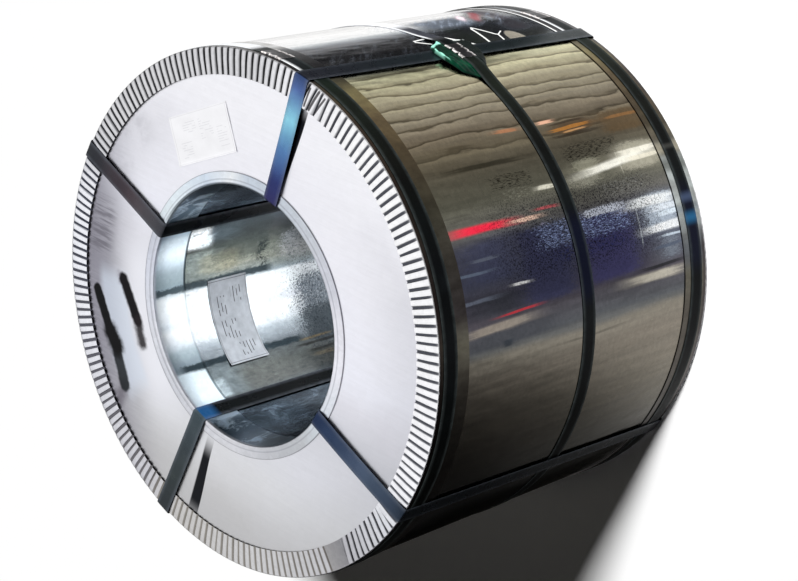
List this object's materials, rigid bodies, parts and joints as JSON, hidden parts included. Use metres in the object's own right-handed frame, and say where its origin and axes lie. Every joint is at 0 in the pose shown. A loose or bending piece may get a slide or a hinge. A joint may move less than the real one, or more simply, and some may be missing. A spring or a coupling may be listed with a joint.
{
  "type": "packed steel coil",
  "caption": "Galvanised steel coil standing on its end, wrapped in sheet metal with fluted edge rings, end discs, hoop straps and eye straps.",
  "frame": {"origin": "on the floor in the middle of the coil's eye, at the bottom centre of the bounding box", "axes": "+Z along the coil's axis from the back end, on the floor, to the front end with the face label; +Y toward the side where the hoop seals sit"},
  "size_m": [1.017, 1.0208, 0.793],
  "materials": {
    "strip": "mill galvanised",
    "wrap": "bright galvanised with spangle",
    "galvanised": "satin galvanised",
    "hoop_strap": "black enamel",
    "eye_strap": "blued steel",
    "seal": "crimped steel",
    "label": "matt",
    "pad": "matt"
  },
  "bodies": {
    "root": {"coil_strip": "strip", "wrap_sheet": "wrap", "bore_liner": "galvanised", "end_disc_front": "galvanised", "end_disc_back": "galvanised", "outer_edge_ring_front": "galvanised", "outer_edge_ring_back": "galvanised", "inner_edge_ring_front": "galvanised", "inner_edge_ring_back": "galvanised", "hoop_strap_front": "hoop_strap", "hoop_strap_middle": "hoop_strap", "hoop_strap_back": "hoop_strap", "hoop_seal_front": "seal", "hoop_seal_middle": "seal", "hoop_seal_back": "seal", "eye_strap_upper_right": "eye_strap", "eye_strap_upper_left": "eye_strap", "eye_strap_lower_left": "eye_strap", "eye_strap_lower_right": "eye_strap", "eye_seal_upper_right": "seal", "eye_seal_upper_left": "seal", "eye_seal_lower_left": "seal", "eye_seal_lower_right": "seal", "face_label": "label", "bore_label": "label", "green_pad": "pad"}
  },
  "joints": []
}
